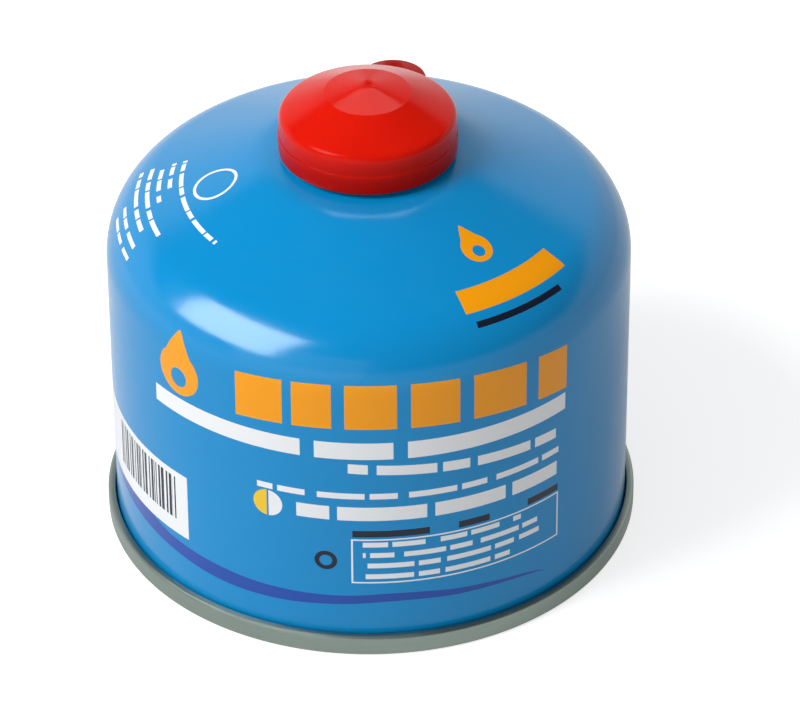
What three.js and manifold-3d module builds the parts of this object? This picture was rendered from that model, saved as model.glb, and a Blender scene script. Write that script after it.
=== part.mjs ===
// Screw-valve camping gas canister: a painted steel can with a domed shoulder, a seamed metal base,
// a crimped valve with a threaded collar, and a red snap cap with a pull tab.
// Units are millimetres, +Z is up, and the origin is on the axis where the canister stands.

import * as THREE from 'three';
import { mergeVertices } from 'three/addons/utils/BufferGeometryUtils.js';
import Module from 'manifold-3d';

const wasm = await Module();
wasm.setup();

// Gaps between pieces that sit in or on each other
const clearance = 0.3;

// Can wall, shoulder and dome
const bodyRadius = 53.15;
const wallTop = 62.5;
const shoulderRadius = 14.3;
const domeSlope = 22.3;

// Seat round the neck, which the cap's skirt stands over
const seatRadius = 22;
const seatEdge = 1.0;
const seatSlope = 6;

// Neck and rolled mouth of the can
const mouthRadius = 12.7;
const curlWidth = 2.7;
const curlHeight = 2.7;
const neckWidth = 1.6;
const neckWaist = 0.4;
const neckFlare = 0.3;
const neckFootRise = 0.5;
const neckHeight = 4.25;
const wellUndercut = 1;
const wellGap = 0.9;

// Double seam that joins the base to the can
const seamOverhang = 1.85;
const seamHeight = 4.6;
const seamEdge = 0.8;
const seamFloor = 2.8;
const canRimThickness = 1.3;

// Concave base panel
const sheetThickness = 0.8;
const panelHeight = 7.2;
const panelRise = 5.8;
const panelBend = 1.5;

// Valve cup, which is pressed from sheet and crimped over the can's mouth
const cupThickness = 0.65;
const gasketThickness = 0.6;
const cupLipDrop = 3.1;
const troughDepth = 7;
const crimpBulge = 0.9;
const crimpHeight = 1.8;
const pedestalRadius = 7.5;
const pedestalHeight = 3.5;

// Threaded collar of the valve, 7/16 inch across its thread
const collarRadius = 5.55;
const collarRise = 2.6;
const collarBore = 4.3;
const socketDepth = 5.2;
const portRadius = 1.9;

// Stem seal, stem and housing
const sealRadius = 4.6;
const sealThickness = 1;
const stemRadius = 1.3;
const stemReach = 0.6;
const stemFlange = 3.1;
const stemFlangeThickness = 1.1;
const stemGuideLength = 4.5;
const housingWall = 1;
const housingFlange = 6.5;
const housingFlangeThickness = 1;
const housingDepth = 7.6;
const housingFloor = 1.2;
const inletRadius = 0.8;

// Valve spring
const springWire = 0.5;
const springRadius = 2.2;
const springTurns = 5;

// Protective cap
const capPlay = 0.36;
const capWall = 1.15;
const capBeadStep = 0.23;
const capSkirtLow = 4.4;
const capBead = 4;
const capWallRise = 2.9;
const capShoulder = 2;
const capDiscRadius = 8.7;
const capConeSlope = 26.5;
const capTipRise = 1.7;
const capTipRadius = 2.4;
const gateMarkRadius = 0.8;
const gateMarkDepth = 0.25;
const gateMarkOffset = 0.7;

// Stop ribs inside the cap and its pull tab
const ribCount = 6;
const ribThickness = 1.2;
const ribReach = 2.2;
const ribHeight = 3.2;
const tabRadius = 6.8;
const tabLength = 3.61;
const tabThickness = 1.5;
const tabAngle = 76.7;
const tabLift = 1.5;

// Number of flat sides round each piece
const bodySides = 56;
const capSides = 40;
const cupSides = 28;
const valveSides = 20;

const degrees = Math.PI / 180;

// Points on an arc round (cr, cz), from one angle to another in degrees
function arc(cr, cz, radius, from, to, steps) {
  const points = [];
  for (let i = 0; i <= steps; i += 1) {
    const angle = (from + ((to - from) * i) / steps) * degrees;
    points.push([cr + radius * Math.cos(angle), cz + radius * Math.sin(angle)]);
  }
  return points;
}

// Points on a shallow round crown, from its rim at (rim, z) to its top on the axis
function crown(rim, z, rise, steps) {
  const radius = (rim * rim + rise * rise) / (2 * rise);
  const half = Math.asin(rim / radius);
  const points = [];
  for (let i = 0; i <= steps; i += 1) {
    const angle = half * (1 - i / steps);
    points.push([radius * Math.sin(angle), z + rise - radius * (1 - Math.cos(angle))]);
  }
  points[steps][0] = 0;
  return points;
}

// Turns an outline of [radius, height] points into a solid of revolution about Z
function turned(outline, sides) {
  let area = 0;
  outline.forEach(([r, z], i) => {
    const [nextR, nextZ] = outline[(i + 1) % outline.length];
    area += r * nextZ - nextR * z;
  });
  const ordered = area > 0 ? outline : [...outline].reverse();
  const onAxis = ordered.some(([r]) => r === 0);
  const first = onAxis ? ordered.findIndex(([r], i) => r === 0 && ordered.at(i - 1)[0] === 0) : 0;
  const points = [...ordered.slice(first), ...ordered.slice(0, first)];
  if (!onAxis) points.push(points[0]);
  const profile = points.map(([r, z]) => new THREE.Vector2(r, z));
  return new THREE.LatheGeometry(profile, sides).rotateX(Math.PI / 2);
}

// Conversions between three.js geometry and a solid that can be joined and cut
function toSolid(geometry) {
  const bare = geometry.clone();
  bare.deleteAttribute('normal');
  bare.deleteAttribute('uv');
  const merged = mergeVertices(bare, 1e-4);
  const mesh = new wasm.Mesh({
    numProp: 3,
    vertProperties: new Float32Array(merged.attributes.position.array),
    triVerts: new Uint32Array(merged.index.array),
  });
  mesh.merge();
  return new wasm.Manifold(mesh);
}

function toGeometry(solid) {
  const mesh = solid.getMesh();
  const geometry = new THREE.BufferGeometry();
  geometry.setAttribute('position', new THREE.BufferAttribute(new Float32Array(mesh.vertProperties), 3));
  geometry.setIndex(new THREE.BufferAttribute(new Uint32Array(mesh.triVerts), 1));
  geometry.computeVertexNormals();
  return geometry;
}

// Heights of the can's dome
const slopeTangent = Math.tan(domeSlope * degrees);
const arcCentreRadius = bodyRadius - shoulderRadius;
const arcEndAngle = 90 - domeSlope;
const domeStartRadius = arcCentreRadius + shoulderRadius * Math.cos(arcEndAngle * degrees);
const domeStartHeight = wallTop + shoulderRadius * Math.sin(arcEndAngle * degrees);
const seatHeight = domeStartHeight + (domeStartRadius - seatRadius) * slopeTangent;
const curlRadius = mouthRadius + curlWidth;
const neckFoot = curlRadius + neckWidth;
const neckFootHeight = seatHeight + (seatRadius - neckFoot) * Math.tan(seatSlope * degrees);

// Heights of the mouth, the valve cup and its collar
const mouthTop = neckFootHeight + neckHeight;
const gasketTop = mouthTop + gasketThickness;
const rimTop = gasketTop + cupThickness;
const troughFloor = rimTop - troughDepth;
const cupWallOuter = mouthRadius - clearance;
const cupWallInner = cupWallOuter - cupThickness;
const rimInner = curlRadius + clearance;
const rimRadius = rimInner + cupThickness;
const pedestalTop = troughFloor + pedestalHeight;
const pedestalStep = pedestalTop - cupThickness;
const collarTop = rimTop + collarRise;
const socketFloor = collarTop - socketDepth;
const sealTop = pedestalStep + sealThickness;
const wellRadius = mouthRadius + wellUndercut;
const housingBore = stemFlange + 2 * clearance;
const housingOuter = housingBore + housingWall;
const housingBottom = pedestalStep - housingDepth - housingFloor;

// Radii of the seamed base
const hookInner = bodyRadius + clearance;
const seamRadius = bodyRadius + seamOverhang;
const canRimInner = bodyRadius - canRimThickness;
const countersinkOuter = canRimInner - clearance;
const countersinkInner = countersinkOuter - sheetThickness;

// The sealed can with its contents is one solid. It has the true outer shape, a rim that stands in
// the seam, a hollow for the raised base panel and an open well for the valve.
function canBody() {
  const panelRim = countersinkInner - panelBend;
  const hollow = crown(panelRim, panelHeight + sheetThickness + clearance, panelRise, 5);
  const edgeTurn = seatEdge * Math.tan(((domeSlope - seatSlope) / 2) * degrees);
  const edgeRadial = edgeTurn * Math.cos(domeSlope * degrees);
  const curlMiddle = mouthTop - curlHeight / 2;
  const wellTop = mouthTop - curlHeight;
  const wellFloor = troughFloor - cupThickness - clearance;
  const narrowWell = housingOuter + wellGap;
  return [
    ...hollow.reverse(),
    [canRimInner, panelHeight],
    [canRimInner, seamFloor],
    [bodyRadius, seamFloor],
    ...arc(arcCentreRadius, wallTop, shoulderRadius, 0, arcEndAngle, 6),
    [seatRadius + edgeRadial, seatHeight - edgeRadial * slopeTangent],
    [seatRadius - edgeTurn, seatHeight + edgeTurn * Math.tan(seatSlope * degrees)],
    [neckFoot, neckFootHeight],
    [curlRadius - neckWaist + neckFlare, neckFootHeight + neckFootRise],
    [curlRadius - neckWaist, wellTop - neckWaist],
    [curlRadius, wellTop + neckWaist / 2],
    [curlRadius, curlMiddle + curlHeight / 4],
    [curlRadius - curlHeight / 4, mouthTop],
    [mouthRadius + curlHeight / 4, mouthTop],
    [mouthRadius, curlMiddle + curlHeight / 4],
    [mouthRadius, wellTop + (wellRadius - mouthRadius) / 2],
    [wellRadius, wellTop - (wellRadius - mouthRadius) / 2],
    [wellRadius, wellFloor],
    [narrowWell, wellFloor],
    [narrowWell, housingBottom - 2 * clearance],
    [0, housingBottom - 2 * clearance],
  ];
}

// Bare metal base: the seam ring, its countersink wall and the concave panel, all one sheet
function baseEnd() {
  const panelRim = countersinkInner - panelBend;
  const under = crown(panelRim, panelHeight, panelRise, 5);
  const over = crown(panelRim, panelHeight + sheetThickness, panelRise, 5);
  return [
    ...under.reverse(),
    [countersinkInner, panelHeight - panelBend],
    [countersinkInner, seamEdge],
    ...arc(countersinkInner + seamEdge, seamEdge, seamEdge, 225, 270, 1),
    ...arc(seamRadius - seamEdge, seamEdge, seamEdge, 270, 360, 2),
    ...arc(seamRadius - seamEdge, seamHeight - seamEdge, seamEdge, 0, 90, 2),
    [hookInner, seamHeight - seamEdge / 2],
    [hookInner, seamFloor],
    [countersinkOuter, seamFloor],
    [countersinkOuter, panelHeight],
    ...over,
  ];
}

// Ring that seals the valve cup on the rolled mouth
function cupGasket() {
  const inner = mouthRadius + curlHeight / 4;
  const outer = curlRadius - curlHeight / 4;
  return [[inner, mouthTop], [outer, mouthTop], [outer, gasketTop], [inner, gasketTop]];
}

// Crimped cup: rolled rim, trough, pedestal and the collar that the stove screws on to
function valveCup() {
  const crimpMiddle = mouthTop - curlHeight - crimpHeight / 2;
  const rimBend = curlHeight / 4;
  const corner = 0.5;
  const innerPedestal = pedestalRadius - cupThickness;
  const troughUnder = troughFloor - cupThickness;
  return [
    [rimInner, rimTop - cupThickness - cupLipDrop],
    [rimRadius, rimTop - cupThickness - cupLipDrop],
    [rimRadius, gasketTop - rimBend / 2],
    [rimRadius - rimBend / 2, rimTop - rimBend / 2],
    [rimRadius - rimBend, rimTop],
    [mouthRadius + rimBend / 2, rimTop],
    [cupWallInner + rimBend / 2, rimTop - rimBend / 2],
    [cupWallInner, gasketTop - rimBend],
    [cupWallInner, crimpMiddle + crimpHeight / 2],
    [cupWallInner + crimpBulge, crimpMiddle],
    [cupWallInner, troughFloor + corner],
    [cupWallInner - corner, troughFloor],
    [pedestalRadius + corner, troughFloor],
    [pedestalRadius, troughFloor + corner],
    [pedestalRadius, pedestalTop - corner],
    [pedestalRadius - corner, pedestalTop],
    [collarRadius, pedestalTop],
    [collarRadius, collarTop - corner],
    [collarRadius - corner, collarTop],
    [collarBore + corner / 2, collarTop],
    [collarBore, collarTop - corner / 2],
    [collarBore, socketFloor],
    [portRadius, socketFloor],
    [portRadius, sealTop],
    [sealRadius + clearance, sealTop],
    [sealRadius + clearance, pedestalStep],
    [innerPedestal, pedestalStep],
    [innerPedestal, troughUnder + corner],
    [innerPedestal + corner, troughUnder],
    [cupWallOuter - corner, troughUnder],
    [cupWallOuter, troughUnder + corner],
    [cupWallOuter + crimpBulge, crimpMiddle],
    [cupWallOuter, crimpMiddle + crimpHeight / 2],
    [cupWallOuter, gasketTop - rimBend],
    [mouthRadius + rimBend / 2, gasketTop],
    [rimInner - rimBend, gasketTop],
    [rimInner, gasketTop - rimBend],
  ];
}

// Rubber ring that closes round the stem, clamped between the collar's floor and the housing
function stemSeal() {
  const hole = stemRadius + clearance;
  return [[hole, pedestalStep], [sealRadius, pedestalStep], [sealRadius, sealTop], [hole, sealTop]];
}

// Stem: a tip that the stove's pin presses, a flange that seals, and a guide inside the spring
function valveStem() {
  const tipTop = socketFloor + stemReach;
  const flangeLow = pedestalStep - stemFlangeThickness;
  const chamfer = stemRadius / 4;
  return [
    [0, flangeLow - stemGuideLength],
    [stemRadius, flangeLow - stemGuideLength],
    [stemRadius, flangeLow],
    [stemFlange, flangeLow],
    [stemFlange, pedestalStep],
    [stemRadius, pedestalStep],
    [stemRadius, tipTop - chamfer],
    [stemRadius - chamfer, tipTop],
    [0, tipTop],
  ];
}

// Moulded housing under the cup, open at the top, with a gas inlet in its floor
function valveHousing() {
  const floorTop = pedestalStep - housingDepth;
  return [
    [inletRadius, housingBottom],
    [housingOuter, housingBottom],
    [housingOuter, pedestalStep - housingFlangeThickness],
    [housingFlange, pedestalStep - housingFlangeThickness],
    [housingFlange, pedestalStep],
    [housingBore, pedestalStep],
    [housingBore, floorTop],
    [inletRadius, floorTop],
  ];
}

// Coil spring between the housing's floor and the stem's flange
function valveSpring() {
  const low = pedestalStep - housingDepth + clearance + springWire / 2;
  const high = pedestalStep - stemFlangeThickness - clearance - springWire / 2;
  const steps = springTurns * 12;
  const points = [];
  for (let i = 0; i <= steps; i += 1) {
    const angle = (i / steps) * springTurns * 2 * Math.PI;
    const height = low + ((high - low) * i) / steps;
    points.push(new THREE.Vector3(springRadius * Math.cos(angle), springRadius * Math.sin(angle), height));
  }
  const section = new THREE.Shape();
  section.absarc(0, 0, springWire / 2, 0, 2 * Math.PI);
  return new THREE.ExtrudeGeometry(section, {
    steps,
    curveSegments: 3,
    extrudePath: new THREE.CatmullRomCurve3(points),
  });
}

// Outline of the cap: skirt with a bead, short wall, round shoulder, cone and a low cone on top
const capWallRadius = rimRadius + capPlay + capWall;
const capSkirtRadius = capWallRadius + capBeadStep;
const tabReach = capSkirtRadius + tabLength;
const capLow = rimTop - capSkirtLow;
const capBeadTop = capLow + capBead;
const capWallTop = capBeadTop + capWallRise;
const capConeAngle = capConeSlope * degrees;
const capConeRadius = capWallRadius - capShoulder * (1 - Math.sin(capConeAngle));
const capConeHeight = capWallTop + capShoulder * Math.cos(capConeAngle);
const capDiscHeight = capConeHeight + (capConeRadius - capDiscRadius) * Math.tan(capConeAngle);

// Low cone with a round tip that closes the top of the cap, from its rim to the axis
function lowCone(rimHeight) {
  const slope = capTipRise / (capDiscRadius - capTipRadius / 2);
  return [
    [capDiscRadius, rimHeight],
    [capTipRadius, rimHeight + slope * (capDiscRadius - capTipRadius)],
    [capTipRadius / 2, rimHeight + capTipRise - (slope * capTipRadius) / 8],
    [0, rimHeight + capTipRise],
  ];
}

function capShell() {
  const bevel = (capSkirtRadius - capWallRadius) / 2;
  const inner = capWallRadius - capWall;
  const coneDrop = capWall / Math.cos(capConeAngle);
  const innerShoulder = capShoulder - capWall;
  const shoulder = arc(capWallRadius - capShoulder, capWallTop, capShoulder, 0, 90 - capConeSlope, 4);
  const hollow = arc(inner - innerShoulder, capWallTop, innerShoulder, 0, 90 - capConeSlope, 2);
  return [
    [inner, capLow],
    [capSkirtRadius - bevel, capLow],
    [capSkirtRadius, capLow + 2 * bevel],
    [capSkirtRadius, capBeadTop - bevel],
    [capWallRadius, capBeadTop + bevel],
    ...shoulder,
    ...lowCone(capDiscHeight),
    ...lowCone(capDiscHeight - coneDrop).reverse(),
    ...hollow.reverse(),
  ];
}

// Ribs inside the cap that stop it on the valve cup's rim
function capRib(index) {
  const outer = capWallRadius - capWall / 2;
  const rib = new THREE.BoxGeometry(ribReach, ribThickness, ribHeight);
  rib.translate(outer - ribReach / 2, 0, rimTop + ribHeight / 2);
  return toSolid(rib.rotateZ((index / ribCount) * 2 * Math.PI));
}

// Flat pull tab with a round end, which stands out from the skirt
function capTab() {
  const plan = new THREE.Shape();
  plan.moveTo(0, -tabRadius);
  plan.lineTo(tabReach, -tabRadius);
  plan.absarc(tabReach, 0, tabRadius, -Math.PI / 2, Math.PI / 2, false);
  plan.lineTo(0, tabRadius);
  const plate = new THREE.ExtrudeGeometry(plan, { depth: tabThickness, bevelEnabled: false, curveSegments: 14 });
  plate.translate(0, 0, capLow + tabLift).rotateZ(tabAngle * degrees);
  const core = turned([
    [0, capLow],
    [capWallRadius - capWall / 2, capLow],
    [capWallRadius - capWall / 2, capBeadTop],
    [0, capBeadTop],
  ], capSides);
  return toSolid(plate).subtract(toSolid(core));
}

// Shallow mark that moulding leaves on top of the cap, a little off its centre
function gateMark() {
  const top = capDiscHeight + capTipRise;
  const mark = turned([
    [0, top - gateMarkDepth],
    [gateMarkRadius, top - gateMarkDepth],
    [gateMarkRadius, top + capWall],
    [0, top + capWall],
  ], 16);
  return toSolid(mark.translate(gateMarkOffset, 0, 0));
}

function protectiveCap() {
  let cap = toSolid(turned(capShell(), capSides)).add(capTab()).subtract(gateMark());
  for (let i = 0; i < ribCount; i += 1) cap = cap.add(capRib(i));
  return toGeometry(cap);
}

// Materials, one for each kind of surface
function material(colour, roughness, metalness) {
  return new THREE.MeshStandardMaterial({ color: colour, roughness, metalness });
}

const bluePaint = material(0x0a84c6, 0.25, 0);
const tinplate = material(0x8f9a94, 0.4, 1);
const redPlastic = material(0xc8180a, 0.3, 0);
const steel = material(0xa8a9a6, 0.35, 1);
const blackRubber = material(0x1a1a1a, 0.8, 0);
const whitePlastic = material(0xdcdad2, 0.5, 0);
const springSteel = material(0x9c9a96, 0.3, 1);

const canister = new THREE.Group();

function place(name, geometry, finish) {
  const mesh = new THREE.Mesh(geometry, finish);
  mesh.name = name;
  canister.add(mesh);
}

place('can_body', turned(canBody(), bodySides), bluePaint);
place('base_end', turned(baseEnd(), bodySides), tinplate);
place('cup_gasket', turned(cupGasket(), valveSides), blackRubber);
place('valve_cup', turned(valveCup(), cupSides), steel);
place('stem_seal', turned(stemSeal(), valveSides), blackRubber);
place('valve_stem', turned(valveStem(), valveSides), whitePlastic);
place('valve_spring', valveSpring(), springSteel);
place('valve_housing', turned(valveHousing(), valveSides), whitePlastic);
place('protective_cap', protectiveCap(), redPlastic);

export default canister;
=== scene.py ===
# Looks of the fuel canister: fine turned skins, a printed enamel, a glossy cap and a studio light.
# Outlines are in millimetres, as the solids have them; everything in the scene is in metres.

import math

import bmesh
import bpy
from mathutils import Matrix, Vector


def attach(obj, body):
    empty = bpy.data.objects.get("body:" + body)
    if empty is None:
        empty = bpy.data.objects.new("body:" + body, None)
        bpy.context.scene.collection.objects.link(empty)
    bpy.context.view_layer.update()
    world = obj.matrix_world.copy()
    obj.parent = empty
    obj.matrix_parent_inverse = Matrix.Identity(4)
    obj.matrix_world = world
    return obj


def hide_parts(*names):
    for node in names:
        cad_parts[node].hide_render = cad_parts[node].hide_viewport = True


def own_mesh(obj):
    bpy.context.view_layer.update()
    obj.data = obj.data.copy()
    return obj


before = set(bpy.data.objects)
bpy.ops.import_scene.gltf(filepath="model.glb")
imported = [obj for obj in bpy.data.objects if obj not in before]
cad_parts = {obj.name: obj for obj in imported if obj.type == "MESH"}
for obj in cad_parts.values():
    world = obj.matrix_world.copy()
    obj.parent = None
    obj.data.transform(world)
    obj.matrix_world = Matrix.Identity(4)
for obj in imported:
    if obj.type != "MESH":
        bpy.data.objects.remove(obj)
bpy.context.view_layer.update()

MM = 0.001

# Can wall, shoulder, dome and neck
BODY_RADIUS = 53.15
WALL_TOP = 62.5
SHOULDER_RADIUS = 14.3
DOME_SLOPE = 22.3
SEAT_RADIUS = 22.0
SEAT_SLOPE = 6.0
SEAT_BLEND = 6.0
CURL_RADIUS = 15.4
CURL_HEIGHT = 2.7
NECK_WAIST = 0.4
NECK_HEIGHT = 4.25
NECK_WIDTH = 1.6
MOUTH_RADIUS = 12.7
WELL_RADIUS = 13.7
WELL_GAP = 0.9
CLEARANCE = 0.3

# Seam and base panel
SEAM_OVERHANG = 1.85
SEAM_HEIGHT = 4.6
SEAM_EDGE = 0.8
SEAM_FLOOR = 2.8
CAN_RIM_THICKNESS = 1.3
SHEET = 0.8
PANEL_HEIGHT = 7.2
PANEL_RISE = 5.8
PANEL_BEND = 1.5

# Valve cup and collar
CUP = 0.65
GASKET = 0.6
LIP_DROP = 3.1
TROUGH_DEPTH = 7.0
CRIMP_BULGE = 0.9
CRIMP_HEIGHT = 1.8
PEDESTAL_RADIUS = 7.5
PEDESTAL_HEIGHT = 3.5
COLLAR_RADIUS = 5.55
COLLAR_RISE = 2.6
COLLAR_BORE = 4.3
SOCKET_DEPTH = 5.2
PORT_RADIUS = 1.9
THREAD_PITCH = 25.4 / 28
THREAD_DEPTH = 0.5

# Seal, stem and housing
SEAL_RADIUS = 4.6
SEAL = 1.0
STEM_RADIUS = 1.3
STEM_REACH = 0.6
STEM_FLANGE = 3.1
STEM_FLANGE_THICKNESS = 1.1
STEM_GUIDE = 4.5
HOUSING_WALL = 1.0
HOUSING_FLANGE = 6.5
HOUSING_DEPTH = 7.6
HOUSING_FLOOR = 1.2
INLET_RADIUS = 0.8

# Coil spring
SPRING_WIRE = 0.5
SPRING_RADIUS = 2.2
SPRING_TURNS = 5

# Cap
CAP_SKIRT = 18.09
CAP_RADIUS = 17.86
CAP_WALL = 1.15
CAP_LOW = 4.4
CAP_BEAD = 4.0
CAP_RISE = 2.9
CAP_SHOULDER = 2.0
CAP_DISC = 8.7
CAP_SLOPE = 26.5
CAP_TIP_RISE = 1.7
CAP_TIP_RADIUS = 2.4
GATE_RADIUS = 0.8
GATE_DEPTH = 0.25
GATE_OFFSET = 0.7
RIB_COUNT = 6
RIB_THICKNESS = 1.2
RIB_REACH = 2.2
RIB_HEIGHT = 3.2
TAB_RADIUS = 6.8
TAB_REACH = 21.7
TAB_THICKNESS = 1.5
TAB_ANGLE = 76.7
TAB_LIFT = 1.5

TURN_STEPS = 192

# Light levels: plain light from all round, gloss of the studio overhead, lift of the seen floor
AMBIENT_LEVEL = 0.34
OVERHEAD_LEVEL = 0.12
FLOOR_LIFT = 0.68

# Floor and studio: metres for the floor, parts of a unit sphere for the sky behind it
FLOOR_RADIUS = 4.0
FLOOR_GREY = (0.66, 0.66, 0.66, 1)
FLOOR_GLOSS_RADII = (0.14, 0.4)
FLOOR_GLOSS_SHARES = (0.42, 0.85)
SIDE_WIDTHS = (0.03, 0.12)
SIDE_REACH = 0.66
HORIZON_HEIGHTS = (0.02, 0.22)
LEFT_SPOT = (-0.75, -0.35, 0.95)
BACK_SPOT = (0, 0.53, 0.94)
CAN_MIDDLE = (0, 0, 0.05)
CAN_TOP = (0, 0, 0.09)

# Camera, fitted to the photograph: degrees, metres, and pixels for the focal length
CAMERA_TILT = 35.25
CAMERA_ROLL = -0.295
CAMERA_TARGET = (0.006199, 0, 0.036157)
CAMERA_DISTANCE = 1.0232
FOCAL_LENGTH = 4969.2
PHOTO_WIDTH = 800
SENSOR_WIDTH = 36

# Heights and radii that follow from the sizes
SLOPE = math.tan(math.radians(DOME_SLOPE))
ARC_RADIUS = BODY_RADIUS - SHOULDER_RADIUS
ARC_END = 90 - DOME_SLOPE
DOME_R = ARC_RADIUS + SHOULDER_RADIUS * math.cos(math.radians(ARC_END))
DOME_Z = WALL_TOP + SHOULDER_RADIUS * math.sin(math.radians(ARC_END))
SEAT_Z = DOME_Z + (DOME_R - SEAT_RADIUS) * SLOPE
NECK_FOOT = CURL_RADIUS + NECK_WIDTH
NECK_Z = SEAT_Z + (SEAT_RADIUS - NECK_FOOT) * math.tan(math.radians(SEAT_SLOPE))
MOUTH_TOP = NECK_Z + NECK_HEIGHT
GASKET_TOP = MOUTH_TOP + GASKET
RIM_TOP = GASKET_TOP + CUP
TROUGH = RIM_TOP - TROUGH_DEPTH
CUP_OUTER = MOUTH_RADIUS - CLEARANCE
CUP_INNER = CUP_OUTER - CUP
RIM_INNER = CURL_RADIUS + CLEARANCE
RIM_RADIUS = RIM_INNER + CUP
PEDESTAL_TOP = TROUGH + PEDESTAL_HEIGHT
STEP = PEDESTAL_TOP - CUP
COLLAR_TOP = RIM_TOP + COLLAR_RISE
THREAD_LOW = PEDESTAL_TOP + 0.55
THREAD_HIGH = COLLAR_TOP - 0.5
SOCKET = COLLAR_TOP - SOCKET_DEPTH
SEAL_TOP = STEP + SEAL
HOUSING_BORE = STEM_FLANGE + 2 * CLEARANCE
HOUSING_OUTER = HOUSING_BORE + HOUSING_WALL
HOUSING_BOTTOM = STEP - HOUSING_DEPTH - HOUSING_FLOOR
HOOK_INNER = BODY_RADIUS + CLEARANCE
SEAM_RADIUS = BODY_RADIUS + SEAM_OVERHANG
CAN_RIM_INNER = BODY_RADIUS - CAN_RIM_THICKNESS
SINK_OUTER = CAN_RIM_INNER - CLEARANCE
SINK_INNER = SINK_OUTER - SHEET
PANEL_RIM = SINK_INNER - PANEL_BEND
WELL_TOP = MOUTH_TOP - CURL_HEIGHT
WELL_FLOOR = TROUGH - CUP - CLEARANCE
SPRING_LOW = STEP - HOUSING_DEPTH + CLEARANCE
SPRING_HIGH = STEP - STEM_FLANGE_THICKNESS - CLEARANCE
CAP_LOW_Z = RIM_TOP - CAP_LOW
CAP_BEAD_Z = CAP_LOW_Z + CAP_BEAD
CAP_WALL_Z = CAP_BEAD_Z + CAP_RISE
CAP_ANGLE = math.radians(CAP_SLOPE)
CONE_R = CAP_RADIUS - CAP_SHOULDER * (1 - math.sin(CAP_ANGLE))
CONE_Z = CAP_WALL_Z + CAP_SHOULDER * math.cos(CAP_ANGLE)
DISC_Z = CONE_Z + (CONE_R - CAP_DISC) * math.tan(CAP_ANGLE)


def arc(cr, cz, radius, start, end, steps):
    """Points on an arc round (cr, cz), between two angles in degrees."""
    angles = [math.radians(start + (end - start) * i / steps) for i in range(steps + 1)]
    return [(cr + radius * math.cos(a), cz + radius * math.sin(a)) for a in angles]


def crown(rim, z, rise, steps):
    """Points on a shallow round crown, from its rim to its top on the axis."""
    radius = (rim * rim + rise * rise) / (2 * rise)
    radii = [rim * (1 - i / steps) for i in range(steps)] + [0]
    return [(r, z + rise - radius + math.sqrt(radius * radius - r * r)) for r in radii]


def low_cone(rim_z, rows, tip_rows):
    """Points on the low cone with a round tip on top of the cap, from its rim to the axis."""
    slope = CAP_TIP_RISE / (CAP_DISC - CAP_TIP_RADIUS / 2)
    radii = [CAP_DISC + (CAP_TIP_RADIUS - CAP_DISC) * i / rows for i in range(rows)]
    points = [(r, rim_z + slope * (CAP_DISC - r)) for r in radii]
    top = rim_z + CAP_TIP_RISE
    for i in range(tip_rows + 1):
        r = CAP_TIP_RADIUS * (1 - i / tip_rows)
        points.append((r, top - slope * r * r / (2 * CAP_TIP_RADIUS)))
    return points


def rounded(corners, steps=5):
    """The open outline through corners (r, z, size), each turned into a small bend of that size."""
    out = []
    for i, (r, z, size) in enumerate(corners):
        if i in (0, len(corners) - 1) or size == 0:
            out.append((r, z))
            continue
        here = Vector((r, z))
        before = Vector(corners[i - 1][:2]) - here
        after = Vector(corners[i + 1][:2]) - here
        reach = min(size, before.length * 0.48, after.length * 0.48)
        a = here + before.normalized() * reach
        b = here + after.normalized() * reach
        for k in range(steps + 1):
            t = k / steps
            p = a * (1 - t) ** 2 + here * (2 * t * (1 - t)) + b * t * t
            out.append((p.x, p.y))
    return out


def add_piece(name, shape, material, slot, body, *nodes):
    """A smooth closed mesh piece with its faces pointing out, riding on a body."""
    verts, faces = shape
    mesh = bpy.data.meshes.new(name)
    mesh.from_pydata(verts, [], faces)
    work = bmesh.new()
    work.from_mesh(mesh)
    bmesh.ops.remove_doubles(work, verts=work.verts, dist=1e-7)
    bmesh.ops.recalc_face_normals(work, faces=work.faces)
    work.to_mesh(mesh)
    work.free()
    mesh.shade_smooth()
    piece = bpy.data.objects.new(name, mesh)
    bpy.context.collection.objects.link(piece)
    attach(piece, body)
    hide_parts(*nodes)
    mesh.materials.clear()
    mesh.materials.append(material)
    return piece


def turned(outline, steps=TURN_STEPS, closed=False, shape=None):
    """Vertices and faces of a solid of revolution from (radius, height) points in millimetres.

    shape(angle, r, z) may give a changed (r, z), for threads and marks.
    """
    verts = []
    faces = []
    rows = []
    for r, z in outline:
        if r < 1e-6:
            rows.append([len(verts)])
            verts.append((0, 0, z * MM))
            continue
        row = []
        for k in range(steps):
            a = 2 * math.pi * k / steps
            rr, zz = shape(a, r, z) if shape else (r, z)
            row.append(len(verts))
            verts.append((rr * math.cos(a) * MM, rr * math.sin(a) * MM, zz * MM))
        rows.append(row)
    pairs = list(zip(rows, rows[1:]))
    if closed:
        pairs.append((rows[-1], rows[0]))
    for low, high in pairs:
        if len(low) == 1 and len(high) == 1:
            continue
        for k in range(steps):
            n = (k + 1) % steps
            if len(low) == 1:
                faces.append((low[0], high[n], high[k]))
            elif len(high) == 1:
                faces.append((low[k], low[n], high[0]))
            else:
                faces.append((low[k], low[n], high[n], high[k]))
    return verts, faces


def smooth_step(value, low, high):
    """0 below low, 1 above high and an even bend between them."""
    t = min(1, max(0, (value - low) / (high - low)))
    return t * t * (3 - 2 * t)


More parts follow.
